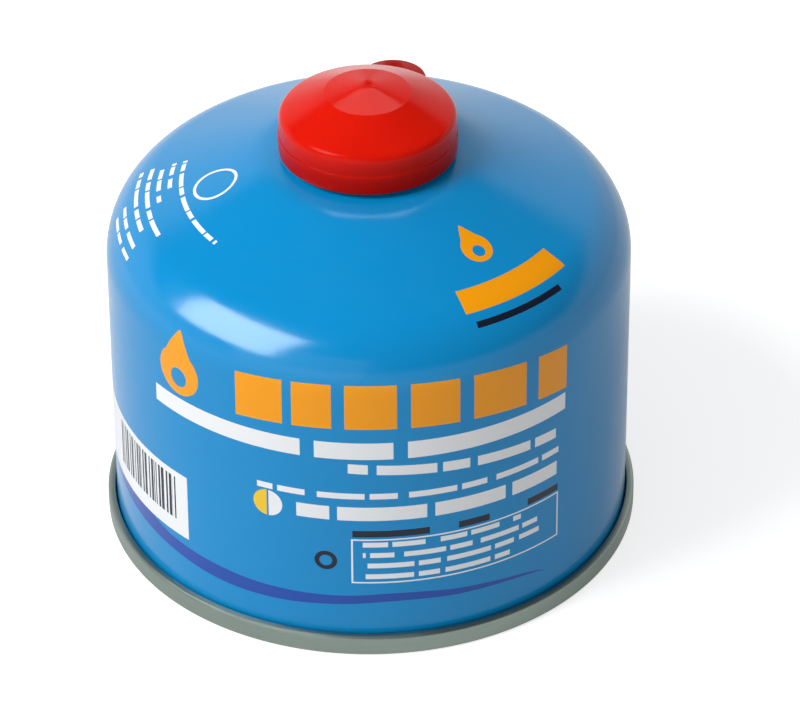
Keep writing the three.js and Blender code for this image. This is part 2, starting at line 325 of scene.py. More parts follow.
def make_camera():
    """The camera that the photograph's outline was fitted with."""
    tilt = math.radians(CAMERA_TILT)
    roll = math.radians(CAMERA_ROLL)
    target = Vector(CAMERA_TARGET)
    back = Vector((0, -math.cos(tilt), math.sin(tilt)))
    right = Vector((1, 0, 0))
    up = Vector((0, math.sin(tilt), math.cos(tilt)))
    side = right * math.cos(roll) + up * math.sin(roll)
    top = up * math.cos(roll) - right * math.sin(roll)
    data = bpy.data.cameras.new("photo_camera")
    data.sensor_fit = "HORIZONTAL"
    data.sensor_width = SENSOR_WIDTH
    data.lens = SENSOR_WIDTH * FOCAL_LENGTH / PHOTO_WIDTH
    camera = bpy.data.objects.new("photo_camera", data)
    turn = Matrix((side, top, back)).transposed().to_4x4()
    camera.matrix_world = Matrix.Translation(target + back * CAMERA_DISTANCE) @ turn
    bpy.context.collection.objects.link(camera)
    bpy.context.scene.camera = camera


def can_outline():
    """Outline of the can: hollow underside, wall, shoulder, dome, seat, neck, mouth and well."""
    low = SEAM_FLOOR + 0.02
    outline = crown(PANEL_RIM, PANEL_HEIGHT + SHEET + CLEARANCE, PANEL_RISE, 10)[::-1]
    outline += [(CAN_RIM_INNER, PANEL_HEIGHT), (CAN_RIM_INNER, low), (BODY_RADIUS, low)]
    outline += [(BODY_RADIUS, low + 0.5), (BODY_RADIUS, 20), (BODY_RADIUS, 40), (BODY_RADIUS, 56)]
    outline += arc(ARC_RADIUS, WALL_TOP, SHOULDER_RADIUS, 0, ARC_END, 28)
    rows = 10
    for i in range(1, rows):
        r = DOME_R + (SEAT_RADIUS + SEAT_BLEND - DOME_R) * i / rows
        outline.append((r, DOME_Z + (DOME_R - r) * SLOPE))
    outline += rounded([
        (SEAT_RADIUS + SEAT_BLEND, SEAT_Z - SEAT_BLEND * SLOPE, 0),
        (SEAT_RADIUS, SEAT_Z, SEAT_BLEND / 2),
        (NECK_FOOT, NECK_Z, 1.0),
        (CURL_RADIUS - NECK_WAIST + 0.1, NECK_Z + 1.0, 0.5),
        (CURL_RADIUS - NECK_WAIST, WELL_TOP - NECK_WAIST, 0.5),
        (CURL_RADIUS, WELL_TOP + NECK_WAIST, 0.4),
        (CURL_RADIUS, MOUTH_TOP, 0.9),
        (MOUTH_RADIUS, MOUTH_TOP, 0.9),
        (MOUTH_RADIUS, WELL_TOP + 0.5, 0.4),
        (WELL_RADIUS, WELL_TOP - 0.5, 0.4),
        (WELL_RADIUS, WELL_FLOOR, 0),
    ])
    narrow = HOUSING_OUTER + WELL_GAP
    bottom = HOUSING_BOTTOM - 2 * CLEARANCE
    return outline + [(narrow, WELL_FLOOR), (narrow, bottom), (0, bottom)]


def base_outline():
    """Outline of the bare metal base: panel, countersink and the rolled seam ring."""
    outer = SEAM_RADIUS - SEAM_EDGE
    outline = crown(PANEL_RIM, PANEL_HEIGHT, PANEL_RISE, 14)[::-1]
    outline += arc(PANEL_RIM, PANEL_HEIGHT - PANEL_BEND, PANEL_BEND, 80, 0, 6)
    outline += [(SINK_INNER, 4.0), (SINK_INNER, SEAM_EDGE + 0.4)]
    outline += arc(SINK_INNER + SEAM_EDGE, SEAM_EDGE, SEAM_EDGE, 180, 270, 6)
    outline += arc(outer, SEAM_EDGE, SEAM_EDGE, 270, 360, 8)
    outline += [(SEAM_RADIUS, SEAM_EDGE + 0.3), (SEAM_RADIUS, SEAM_HEIGHT - SEAM_EDGE - 0.2)]
    outline += arc(outer, SEAM_HEIGHT - SEAM_EDGE, SEAM_EDGE, 0, 90, 10)
    outline += rounded([
        (outer - 0.05, SEAM_HEIGHT, 0),
        (HOOK_INNER, SEAM_HEIGHT, 0.25),
        (HOOK_INNER, SEAM_HEIGHT - 0.5, 0),
    ])
    outline += [(HOOK_INNER, SEAM_FLOOR), (SINK_OUTER, SEAM_FLOOR), (SINK_OUTER, PANEL_HEIGHT)]
    return outline + crown(PANEL_RIM, PANEL_HEIGHT + SHEET, PANEL_RISE, 14)


def cup_outline():
    """Closed outline of the valve cup: rolled rim, crimp, trough, pedestal and threaded collar."""
    crimp = MOUTH_TOP - CURL_HEIGHT - CRIMP_HEIGHT / 2
    under = TROUGH - CUP
    inner = PEDESTAL_RADIUS - CUP
    lip = RIM_TOP - CUP - LIP_DROP
    outline = rounded([
        (RIM_INNER + 0.15, lip, 0),
        (RIM_RADIUS - 0.1, lip, 0.1),
        (RIM_RADIUS, lip + 0.2, 0.1),
        (RIM_RADIUS, RIM_TOP, 1.1),
        (CUP_INNER, RIM_TOP, 1.3),
        (CUP_INNER, crimp + CRIMP_HEIGHT / 2, 0.5),
        (CUP_INNER + CRIMP_BULGE, crimp, 0.5),
        (CUP_INNER, TROUGH + 1.2, 0.5),
        (CUP_INNER, TROUGH, 0.9),
        (PEDESTAL_RADIUS, TROUGH, 0.8),
        (PEDESTAL_RADIUS, PEDESTAL_TOP, 0.7),
        (COLLAR_RADIUS - THREAD_DEPTH, PEDESTAL_TOP, 0.15),
        (COLLAR_RADIUS - THREAD_DEPTH, PEDESTAL_TOP + 0.5, 0),
    ])
    rows = 76
    tall = THREAD_HIGH - THREAD_LOW
    outline += [(COLLAR_RADIUS, THREAD_LOW + tall * i / rows) for i in range(rows + 1)]
    outline += rounded([
        (COLLAR_RADIUS - 0.12, COLLAR_TOP - 0.42, 0),
        (COLLAR_RADIUS - THREAD_DEPTH, COLLAR_TOP, 0.12),
        (COLLAR_BORE + 0.2, COLLAR_TOP, 0.1),
        (COLLAR_BORE, COLLAR_TOP - 0.25, 0.1),
        (COLLAR_BORE, SOCKET, 0.25),
        (PORT_RADIUS, SOCKET, 0.12),
        (PORT_RADIUS, SEAL_TOP, 0),
        (SEAL_RADIUS + CLEARANCE, SEAL_TOP, 0),
        (SEAL_RADIUS + CLEARANCE, STEP, 0),
        (inner, STEP, 0),
        (inner, under, 0.5),
        (CUP_OUTER, under, 0.5),
        (CUP_OUTER + CRIMP_BULGE * 0.6, crimp, 0.5),
        (CUP_OUTER, crimp + CRIMP_HEIGHT / 2, 0.3),
        (CUP_OUTER, GASKET_TOP, 0.7),
        (RIM_INNER, GASKET_TOP, 0.6),
        (RIM_INNER, lip + 0.15, 0),
    ])
    return outline


def thread(angle, r, z):
    """Cuts a right-handed screw thread into the collar's outer wall."""
    low, high = THREAD_LOW, THREAD_HIGH
    if abs(r - COLLAR_RADIUS) > 1e-6 or not low - 1e-6 <= z <= high + 1e-6:
        return r, z
    turn = (z / THREAD_PITCH - angle / (2 * math.pi)) % 1
    depth = min(1, max(0, 1.25 * abs(2 * turn - 1) - 0.12))
    fade = smooth_step(z, low, low + THREAD_PITCH) * smooth_step(high - z, 0, 0.5 * THREAD_PITCH)
    runout = THREAD_DEPTH * (1 - smooth_step(z, low, low + 0.6 * THREAD_PITCH))
    return r - max(THREAD_DEPTH * depth * fade, runout), z


def cap_outline():
    """Closed outline of the cap: skirt, bead, wall, shoulder, cone, top and its hollow side."""
    bevel = (CAP_SKIRT - CAP_RADIUS) / 2
    inner = CAP_RADIUS - CAP_WALL
    drop = CAP_WALL / math.cos(CAP_ANGLE)
    small = CAP_SHOULDER - CAP_WALL
    slope = math.tan(CAP_ANGLE)
    outline = rounded([
        (inner + 0.2, CAP_LOW_Z, 0),
        (CAP_SKIRT - 0.05, CAP_LOW_Z, 0.3),
        (CAP_SKIRT, CAP_LOW_Z + 1.2, 0.2),
        (CAP_SKIRT, CAP_BEAD_Z, 0.3),
        (CAP_RADIUS, CAP_BEAD_Z + bevel, 0.25),
        (CAP_RADIUS, CAP_BEAD_Z + 1.2, 0),
    ])
    outline += arc(CAP_RADIUS - CAP_SHOULDER, CAP_WALL_Z, CAP_SHOULDER, 0, 90 - CAP_SLOPE, 14)
    rows = 8
    for i in range(1, rows):
        r = CONE_R + (CAP_DISC + 0.35 - CONE_R) * i / rows
        outline.append((r, CONE_Z + (CONE_R - r) * slope))
    top = low_cone(DISC_Z, 12, 26)
    outline += rounded([
        (CAP_DISC + 0.35, DISC_Z - 0.35 * slope, 0),
        (CAP_DISC, DISC_Z, 0.22),
        (top[1][0], top[1][1], 0),
    ])
    outline += top[2:]
    hollow = low_cone(DISC_Z - drop, 6, 4)
    hollow.reverse()
    hollow += arc(inner - small, CAP_WALL_Z, small, 90 - CAP_SLOPE, 0, 6)
    return outline + hollow + [(inner, CAP_BEAD_Z), (inner, CAP_LOW_Z + 0.25)]


def gate_mark(angle, r, z):
    """Sinks the small round mark near the middle of the cap's top."""
    if r > CAP_TIP_RADIUS or z < DISC_Z + CAP_TIP_RISE - 0.6:
        return r, z
    away = math.hypot(r * math.cos(angle) - GATE_OFFSET, r * math.sin(angle))
    return r, z - GATE_DEPTH * (1 - smooth_step(away, GATE_RADIUS - 0.12, GATE_RADIUS + 0.12))


def tab_mesh():
    """Pull tab with rounded edges, its root inside the cap's wall."""
    root = CAP_RADIUS - CAP_WALL * 0.6
    low = CAP_LOW_Z + TAB_LIFT
    high = low + TAB_THICKNESS
    edge = 0.35
    rows = [(edge, low), (edge * 0.3, low + edge * 0.3), (0, low + edge)]
    rows += [(0, high - edge), (edge * 0.3, high - edge * 0.3), (edge, high)]
    turn = Matrix.Rotation(math.radians(TAB_ANGLE), 3, "Z")
    verts = []
    faces = []
    for inset, z in rows:
        width = TAB_RADIUS - inset
        half = math.asin(width / root)
        plan = [(root * math.cos(half * t / 8), root * math.sin(half * t / 8))
                for t in range(8, -9, -1)]
        plan += arc(TAB_REACH, 0, width, -90, 90, 36)
        count = len(plan)
        verts += [turn @ Vector((x, y, z)) * MM for x, y in plan]
    for i in range(len(rows) - 1):
        for k in range(count):
            n = (k + 1) % count
            a, b = i * count, (i + 1) * count
            faces.append((a + k, a + n, b + n, b + k))
    faces.append(tuple(range(count)))
    last = (len(rows) - 1) * count
    faces.append(tuple(range(last, last + count)))
    return verts, faces


def ribs_mesh():
    """The stop ribs inside the cap, with their roots inside its wall."""
    verts = []
    faces = []
    outer = CAP_RADIUS - CAP_WALL / 2
    draft = 0.12
    for i in range(RIB_COUNT):
        turn = Matrix.Rotation(2 * math.pi * i / RIB_COUNT, 3, "Z")
        start = len(verts)
        for z, thin in ((RIM_TOP, draft), (RIM_TOP + RIB_HEIGHT, 0)):
            half = RIB_THICKNESS / 2 - thin
            reach = outer - RIB_REACH + thin
            ring = [(reach, -half), (outer, -half), (outer, half), (reach, half)]
            verts += [turn @ Vector((x, y, z)) * MM for x, y in ring]
        quads = [(0, 1, 2, 3), (4, 5, 6, 7), (0, 1, 5, 4), (1, 2, 6, 5), (2, 3, 7, 6), (3, 0, 4, 7)]
        faces += [tuple(start + v for v in quad) for quad in quads]
    return verts, faces


def spring_mesh():
    """A coil of round wire with plain ends, from the housing's floor up to the stem's flange."""
    along, around = 36 * SPRING_TURNS, 12
    half = SPRING_WIRE / 2
    low, high = SPRING_LOW + half, SPRING_HIGH - half
    lead = math.atan2(high - low, 2 * math.pi * SPRING_RADIUS * SPRING_TURNS)
    verts = []
    faces = []
    for i in range(along + 1):
        turn = 2 * math.pi * SPRING_TURNS * i / along
        out = Vector((math.cos(turn), math.sin(turn), 0))
        ahead = Vector((-math.sin(turn), math.cos(turn), 0))
        rise = Vector((0, 0, math.cos(lead))) - ahead * math.sin(lead)
        centre = out * SPRING_RADIUS + Vector((0, 0, low + (high - low) * i / along))
        for k in range(around):
            a = 2 * math.pi * k / around
            verts.append((centre + out * (half * math.cos(a)) + rise * (half * math.sin(a))) * MM)
    for i in range(along):
        for k in range(around):
            n = (k + 1) % around
            a, b = i * around, (i + 1) * around
            faces.append((a + k, a + n, b + n, b + k))
    faces.append(tuple(range(around)))
    faces.append(tuple(range(along * around, (along + 1) * around)))
    return verts, faces


def ring_outline(inner, outer, low, high, edge):
    """Closed outline of a plain ring with softened edges."""
    return rounded([
        (inner, (low + high) / 2, 0),
        (inner, low, edge),
        (outer, low, edge),
        (outer, high, edge),
        (inner, high, edge),
        (inner, (low + high) / 2 + 0.01, 0),
    ])


def stem_outline():
    """Outline of the stem: guide, flange and the tip in the socket."""
    tip = SOCKET + STEM_REACH
    low = STEP - STEM_FLANGE_THICKNESS
    return rounded([
        (0, low - STEM_GUIDE, 0),
        (STEM_RADIUS, low - STEM_GUIDE, 0.2),
        (STEM_RADIUS, low, 0.1),
        (STEM_FLANGE, low, 0.15),
        (STEM_FLANGE, STEP - 0.01, 0.15),
        (STEM_RADIUS, STEP - 0.01, 0.1),
        (STEM_RADIUS, tip, 0.35),
        (0.45, tip, 0.1),
        (0.4, tip - 0.3, 0.1),
        (0, tip - 0.3, 0),
    ])


def housing_outline():
    """Closed outline of the housing under the cup, with its flange and its inlet."""
    floor = STEP - HOUSING_DEPTH
    return rounded([
        (INLET_RADIUS, floor - 0.5, 0),
        (INLET_RADIUS, HOUSING_BOTTOM, 0.2),
        (HOUSING_OUTER, HOUSING_BOTTOM, 0.4),
        (HOUSING_OUTER, STEP - 1, 0.15),
        (HOUSING_FLANGE, STEP - 1, 0.15),
        (HOUSING_FLANGE, STEP - 0.01, 0.1),
        (HOUSING_BORE, STEP - 0.01, 0.15),
        (HOUSING_BORE, floor, 0.2),
        (INLET_RADIUS, floor, 0.1),
        (INLET_RADIUS, floor - 0.4, 0),
    ])


class Tree:
    """A node tree being built: short calls that add nodes and join them."""

    def __init__(self, tree):
        self.tree = tree

    def node(self, kind, **settings):
        made = self.tree.nodes.new(kind)
        for key, value in settings.items():
            setattr(made, key, value)
        return made

    def put(self, socket, value):
        if isinstance(value, bpy.types.NodeSocket):
            self.tree.links.new(value, socket)
        else:
            socket.default_value = value

    def math(self, operation, *values):
        made = self.node("ShaderNodeMath", operation=operation)
        for socket, value in zip(made.inputs, values):
            self.put(socket, value)
        return made.outputs[0]

    def length(self, a, b):
        squares = self.math("ADD", self.math("MULTIPLY", a, a), self.math("MULTIPLY", b, b))
        return self.math("SQRT", squares)

    def between(self, value, low, high):
        """1 where the value lies between low and high, else 0."""
        return self.math("COMPARE", value, (low + high) / 2, (high - low) / 2)

    def both(self, a, b):
        return self.math("MINIMUM", a, b)

    def largest(self, values):
        """The largest of the values, or 1 where any of the masks is 1, joined in a balanced way."""
        values = list(values)
        while len(values) > 1:
            pairs = [values[i:i + 2] for i in range(0, len(values), 2)]
            values = [self.math("MAXIMUM", *p) if len(p) == 2 else p[0] for p in pairs]
        return values[0]

    def remap(self, value, low, high, to_low, to_high, smooth=False):
        made = self.node("ShaderNodeMapRange")
        if smooth:
            made.interpolation_type = "SMOOTHSTEP"
        for socket, number in zip(made.inputs, (value, low, high, to_low, to_high)):
            self.put(socket, number)
        return made.outputs[0]

    def coordinates(self, kind):
        """The whole coordinates, then their x, y and z."""
        whole = self.node("ShaderNodeTexCoord").outputs[kind]
        split = self.node("ShaderNodeSeparateXYZ")
        self.put(split.inputs[0], whole)
        return whole, split.outputs[0], split.outputs[1], split.outputs[2]


class Shader(Tree):
    """A material being built round its Principled node."""

    def __init__(self, name):
        self.material = bpy.data.materials.new(name)
        self.material.use_nodes = True
        super().__init__(self.material.node_tree)
        self.surface = self.tree.nodes["Principled BSDF"]
        self.place, self.x, self.y, self.z = self.coordinates("Object")

    def set(self, **values):
        for key, value in values.items():
            self.put(self.surface.inputs[key.replace("_", " ")], value)

    def mix(self, factor, a, b):
        made = self.node("ShaderNodeMix", data_type="RGBA")
        self.put(made.inputs["Factor"], factor)
        self.put(made.inputs[6], a)
        self.put(made.inputs[7], b)
        return made.outputs[2]

    def noise(self, scale, detail=2.0, roughness=0.5, vector=None):
        made = self.node("ShaderNodeTexNoise")
        made.inputs["Scale"].default_value = scale
        made.inputs["Detail"].default_value = detail
        made.inputs["Roughness"].default_value = roughness
        self.put(made.inputs["Vector"], vector or self.place)
        return made.outputs["Fac"]

    def uneven(self, value, low, high):
        """A noise's middle range spread over low to high, for a surface's roughness."""
        return self.remap(value, 0.3, 0.7, low, high)

    def bump(self, height, strength):
        made = self.node("ShaderNodeBump")
        made.inputs["Strength"].default_value = strength
        made.inputs["Distance"].default_value = BUMP_DISTANCE
        self.put(made.inputs["Height"], height)
        self.put(self.surface.inputs["Normal"], made.outputs[0])


# Inks and enamel
ORANGE = (1.0, 0.37, 0.0, 1)
WHITE = (0.91, 0.93, 0.95, 1)
DARK = (0.006, 0.012, 0.03, 1)
YELLOW = (0.95, 0.62, 0.03, 1)
STRIPE = (0.012, 0.075, 0.42, 1)
SKY = (0.001, 0.285, 0.65, 1)
SKY_DEEP = (0.001, 0.262, 0.61, 1)

BUMP_DISTANCE = 0.0002

# Print: boxes are two azimuths in degrees from the front, then two heights in millimetres.
# On the dome, radii from the axis take the heights' place.
WALL_FROM = 52.0
WHITE_BARS = [
    (-52.8, -14.8, 47.6, 51.6),
    (-11.7, 5.2, 47.6, 51.6),
    (8.3, 47.1, 47.6, 51.6),
    (-15.8, -8.6, 32.6, 35.9),
    (-6.9, 12.4, 32.6, 35.9),
    (14.2, 30.6, 32.6, 35.9),
    (32.3, 44.7, 32.6, 35.9),
]
TILTED_LINE = (-4.5, 45.2, 44.0, 46.3)
LINE_TILT = 0.05
FINE_LINE = (-24.7, 45.2, 37.9, 39.3)
FRAME = (-4.0, 45.3, 17.0, 28.0)
FRAME_INSIDE = (-3.6, 44.9, 17.35, 27.65)
FRAME_LINE_START = -1.5
FRAME_LINE_HALF = 0.6
FRAME_LINE_PITCH = 2.63
FRAME_LINES = [(34.6, 26.6), (39.1, 24.0), (39.6, 21.4), (31.8, 18.7)]  # last azimuth, height
DARK_BARS = [(-3.7, 13.0, 28.5, 30.1), (19.5, 26.7, 28.5, 30.1), (36.4, 45.1, 28.5, 30.1)]
DARK_RING = (-9.5, 22.4, 1.3, 2.3)  # azimuth, height, inner and outer radius
SPLIT_DISC = (-22.3, 34.4, 3.1)  # azimuth, height, radius
SPLIT_GAP = 0.2
LABEL = (-86.0, -43.5, 17.0, 32.5)
LABEL_BARS = (-73.0, -47.0, 20.5, 31.0)
ORANGE_BLOCKS = [
    (-29.4, -18.6), (-16.5, -7.9), (-5.1, 6.0), (9.0, 19.7), (22.9, 35.7), (39.0, 47.4),
]
ORANGE_HEIGHTS = (54.9, 65.2)
ORANGE_SAG = 0.001
WALL_DROP = (-45.0, 58.0, 5.4, 9.6)  # azimuth, height, radius, height of the tip over the middle
DOME_DROP = (38.5, 34.2, 3.2, 5.6)
DOME_BAR = (24.3, 56.7, 41.4, 46.4)
DOME_DARK_BAR = (26.0, 51.0, 48.0, 49.0)
DOME_RING = (-80.0, 31.0, 3.9, 4.5)
DOME_LINE_PITCH = 2.3
DOME_LINES = [  # mean radius, half width, first and last azimuth
    (37.6, 0.45, -101, -53),
    (39.9, 0.45, -101, -88),
    (42.2, 0.45, -101, -83),
    (44.5, 0.45, -101, -68),
    (46.8, 0.42, -101, -75),
    (49.1, 0.32, -89, -72),
    (50.7, 0.24, -88, -71),
]
BACK_BARS = [(140, 220, 51, 54), (150, 210, 46.2, 48)]
BACK_LINES = [42.5, 39.3, 36.1, 32.9, 29.7]
BACK_LINE_HALF = 0.5
BACK_LINE_PITCH = 3.2
BACK_LINE_ENDS = (152, 208)
STRIPE_LOW = [(-82, 16.2), (-61.7, 13.5), (-48.6, 12.2), (-34.3, 10.9), (-23, 10.7), (-6.9, 11.5),
              (6.3, 12.3), (19.4, 11.9), (28.9, 11.6), (36.7, 10.9), (41.6, 9.8)]
STRIPE_HIGH = [(-82, 16.3), (-61.7, 17.3), (-48.6, 15.4), (-34.3, 14.3), (-23, 13.7), (-6.9, 13.7),
               (6.3, 14.3), (19.4, 13.4), (28.9, 12.6), (36.7, 11.5), (41.6, 9.8)]
CURVE_HEIGHT = 20.0


def words(s, along, row, pitch):
    """Uneven runs with small gaps between them, different on each row."""
    chance = s.node("ShaderNodeTexWhiteNoise", noise_dimensions="1D")
    s.put(chance.inputs["W"], row)
    shift = s.math("MULTIPLY", chance.outputs["Value"], 7.0)
    turn = s.math("MULTIPLY_ADD", along, pitch * 3.1, s.math("MULTIPLY", shift, 2.0))
    phase = s.math("MULTIPLY_ADD", along, pitch, shift)
    phase = s.math("MULTIPLY_ADD", s.math("SINE", turn), 0.2, phase)
    gap = 0.17
    return s.math("GREATER_THAN", s.math("FRACT", s.math("ADD", phase, 50.0)), gap)


def row_number(s, value, first, pitch):
    """Number of the line that a height or radius lies on."""
    return s.math("ROUND", s.math("MULTIPLY_ADD", value, 1 / pitch, -first / pitch))


def drop(s, across, upward, radius, tip):
    """A drop with a round hole: a disc with a pointed top, in millimetres from its middle."""
    disc = s.math("LESS_THAN", s.length(across, upward), radius)
    rise = s.math("DIVIDE", s.math("SUBTRACT", tip, upward), tip)
    wide = s.math("MULTIPLY", s.math("POWER", s.math("MAXIMUM", rise, 0.0), 0.8), radius)
    cone = s.math("LESS_THAN", s.math("ABSOLUTE", across), wide)
    cone = s.both(cone, s.math("GREATER_THAN", upward, 0.0))
    from_hole = s.length(across, s.math("ADD", upward, radius * 0.25))
    hole = s.math("GREATER_THAN", from_hole, radius * 0.4)
    return s.both(s.largest([disc, cone]), hole)


def curve(s, az, points):
    """Height of a smooth line through points (azimuth, height)."""
    made = s.node("ShaderNodeFloatCurve")
    line = made.mapping.curves[0]
    made.mapping.use_clip = False
    spots = [((a + 90) / 180, height / CURVE_HEIGHT) for a, height in points]
    line.points[0].location = spots[0]
    line.points[1].location = spots[-1]
    for spot in spots[1:-1]:
        line.points.new(*spot)
    made.mapping.update()
    s.put(made.inputs["Value"], s.math("MULTIPLY_ADD", az, 1 / 180, 0.5))
    return s.math("MULTIPLY", made.outputs[0], CURVE_HEIGHT)


def print_masks(s, az, z, r):
    """Masks of the printed fields, by ink: azimuth in degrees, height and radius in millimetres."""
    on_wall = s.math("GREATER_THAN", r, WALL_FROM)
    on_dome = s.math("SUBTRACT", 1.0, on_wall)

    def box(a0, a1, low, high, height=z):
        return s.both(s.between(az, a0, a1), s.between(height, low, high))

    def around(a0, radius):
        """Distance round the can from an azimuth, in millimetres at a radius."""
        return s.math("MULTIPLY", s.math("SUBTRACT", az, a0), math.radians(radius))

    def white_on_wall():
        masks = [box(*bar) for bar in WHITE_BARS]
        thin = s.largest([
            box(FRAME_LINE_START, end, height - FRAME_LINE_HALF, height + FRAME_LINE_HALF)
            for end, height in FRAME_LINES
        ])
        row = row_number(s, z, FRAME_LINES[3][1], FRAME_LINE_PITCH)
        masks.append(s.both(thin, words(s, az, row, 0.115)))
        masks.append(s.both(box(*FINE_LINE), words(s, az, 2.0, 0.1)))
        tilted = box(*TILTED_LINE, height=s.math("MULTIPLY_ADD", az, LINE_TILT, z))
        masks.append(s.both(tilted, words(s, az, 5.0, 0.09)))
        masks.append(s.both(box(*FRAME), s.math("SUBTRACT", 1.0, box(*FRAME_INSIDE))))
        masks.append(s.both(disc, s.math("GREATER_THAN", from_disc, SPLIT_GAP)))
        masks.append(box(*LABEL))
        behind = s.math("MULTIPLY", s.math("LESS_THAN", az, 0.0), 360.0)
        back = s.math("ADD", az, behind)
        for a0, a1, low, high in BACK_BARS:
            masks.append(s.both(s.between(back, a0, a1), s.between(z, low, high)))
        lines = s.largest([
            s.between(z, line - BACK_LINE_HALF, line + BACK_LINE_HALF) for line in BACK_LINES
        ])
        row = row_number(s, z, BACK_LINES[0], BACK_LINE_PITCH)
        lines = s.both(lines, words(s, back, row, 0.11))
        masks.append(s.both(lines, s.between(back, *BACK_LINE_ENDS)))
        return s.both(s.largest(masks), on_wall)

    def white_on_dome():
        arcs = [box(a0, a1, mid - half, mid + half, r) for mid, half, a0, a1 in DOME_LINES]
        row = row_number(s, r, DOME_LINES[0][0], DOME_LINE_PITCH)
        arcs = s.both(s.largest(arcs), words(s, az, row, 0.15))
        a0, middle, inner, outer = DOME_RING
        away = s.length(around(a0, middle), s.math("SUBTRACT", r, middle))
        return s.both(s.largest([arcs, s.between(away, inner, outer)]), on_dome)

    def orange_on_wall():
        sagging = s.math("MULTIPLY_ADD", s.math("MULTIPLY", az, az), ORANGE_SAG, z)
        blocks = s.largest([s.between(az, a0, a1) for a0, a1 in ORANGE_BLOCKS])
        blocks = s.both(blocks, s.between(sagging, *ORANGE_HEIGHTS))
        a0, height, radius, tip = WALL_DROP
        mark = drop(s, around(a0, BODY_RADIUS), s.math("SUBTRACT", z, height), radius, tip)
        return s.both(s.largest([blocks, mark]), on_wall)

    def orange_on_dome():
        a0, middle, radius, tip = DOME_DROP
        mark = drop(s, around(a0, middle), s.math("SUBTRACT", middle, r), radius, tip)
        return s.both(s.largest([box(*DOME_BAR, height=r), mark]), on_dome)

    def dark_on_wall():
        masks = [box(*bar) for bar in DARK_BARS]
        a0, height, inner, outer = DARK_RING
        away = s.length(around(a0, BODY_RADIUS), s.math("SUBTRACT", z, height))
        masks.append(s.between(away, inner, outer))
        fine = s.math("FRACT", s.math("MULTIPLY", az, 0.74))
        coarse = s.math("FRACT", s.math("MULTIPLY", az, 0.31))
        bars = s.math("GREATER_THAN", s.math("MULTIPLY_ADD", coarse, 0.7, fine), 0.82)
        masks.append(s.both(bars, box(*LABEL_BARS)))
        return s.both(s.largest(masks), on_wall)

    a0, height, radius = SPLIT_DISC
    from_disc = around(a0, BODY_RADIUS)
    disc = s.length(from_disc, s.math("SUBTRACT", z, height))
    disc = s.math("LESS_THAN", disc, radius)
    yellow = s.both(disc, s.math("LESS_THAN", from_disc, -SPLIT_GAP))

    above = s.math("GREATER_THAN", z, curve(s, az, STRIPE_LOW))
    below = s.math("LESS_THAN", z, curve(s, az, STRIPE_HIGH))
    ends = s.between(az, STRIPE_LOW[0][0], STRIPE_LOW[-1][0])
    return {
        "stripe": s.both(s.both(above, below), s.both(ends, on_wall)),
        "white": s.largest([white_on_wall(), white_on_dome()]),
        "orange": s.largest([orange_on_wall(), orange_on_dome()]),
        "yellow": s.both(yellow, on_wall),
        "dark": s.largest([dark_on_wall(), s.both(box(*DOME_DARK_BAR, height=r), on_dome)]),
    }


def enamel():
    """Glossy printed enamel of the can."""
    s = Shader("sky_blue_enamel")
    az = s.math("ARCTAN2", s.x, s.math("MULTIPLY", s.y, -1.0))
    az = s.math("MULTIPLY", az, math.degrees(1))
    r = s.math("MULTIPLY", s.length(s.x, s.y), 1 / MM)
    masks = print_masks(s, az, s.math("MULTIPLY", s.z, 1 / MM), r)
    colour = s.mix(s.noise(28.0, 3.0), SKY_DEEP, SKY)
    for ink, paint in (("stripe", STRIPE), ("white", WHITE), ("orange", ORANGE),
                       ("yellow", YELLOW), ("dark", DARK)):
        colour = s.mix(masks[ink], colour, paint)
    s.set(Base_Color=colour)
    s.set(Roughness=s.uneven(s.noise(160.0, 4.0), 0.13, 0.19))
    s.set(IOR=1.40)
    s.bump(s.noise(2600.0, 2.0), 0.05)
    return s.material


def bare_metal(name, colour, deep, rough, brush):
    """Bare sheet metal with a fine rolled grain and small differences of tone."""
    s = Shader(name)
    pack = s.node("ShaderNodeCombineXYZ")
    s.put(pack.inputs[0], s.math("MULTIPLY", s.math("ARCTAN2", s.x, s.y), 0.004))
    s.put(pack.inputs[1], s.length(s.x, s.y))
    s.put(pack.inputs[2], s.z)
    lines = s.noise(brush, 3.0, 0.6, pack.outputs[0])
    tone = s.noise(70.0, 4.0, 0.6)
    shade = s.math("MULTIPLY_ADD", lines, 0.5, s.math("MULTIPLY", tone, 0.5))
    s.set(Base_Color=s.mix(shade, deep, colour))
    s.set(Metallic=1.0)
    s.set(Roughness=s.uneven(tone, *rough))
    s.bump(lines, 0.12)
    return s.material


def moulded(name, colour, deep, rough, grain):
    """Moulded plastic or rubber with a faint texture and cloudy tone."""
    s = Shader(name)
    s.set(Base_Color=s.mix(s.noise(55.0, 3.0), deep, colour))
    s.set(Roughness=s.uneven(s.noise(260.0, 3.0), rough * 0.85, rough * 1.15))
    s.bump(s.noise(grain, 3.0), 0.08)
    return s.material


def cap_red():
    """Glossy, slightly translucent red; the skirt carries painted shade, a deeper red than the top,
    and a calmer gloss.
    """
    s = Shader("red_cap_plastic")
    tone = s.noise(55.0, 3.0)
    # Painted shade: the skirt red is a darker copy of the top red, and high blends them by height,
    # from the bead up to the wall's top.
    top = s.mix(tone, (0.64, 0.006, 0.001, 1), (0.74, 0.010, 0.002, 1))
    shaded_skirt_red = s.mix(tone, (0.42, 0.003, 0.001, 1), (0.50, 0.005, 0.001, 1))
    high = s.remap(s.z, (CAP_BEAD_Z - 1.5) * MM, CAP_WALL_Z * MM, 0.0, 1.0)
    s.set(Base_Color=s.mix(high, shaded_skirt_red, top))
    s.set(Specular_IOR_Level=s.remap(high, 0.0, 1.0, 0.25, 0.5))
    s.set(Roughness=s.uneven(s.noise(260.0, 3.0), 0.12, 0.17))
    s.set(IOR=1.22)
    s.set(Subsurface_Weight=0.15, Subsurface_Radius=(1.0, 0.08, 0.03), Subsurface_Scale=0.001)
    s.bump(s.noise(900.0, 3.0), 0.08)
    return s.material


make_camera()

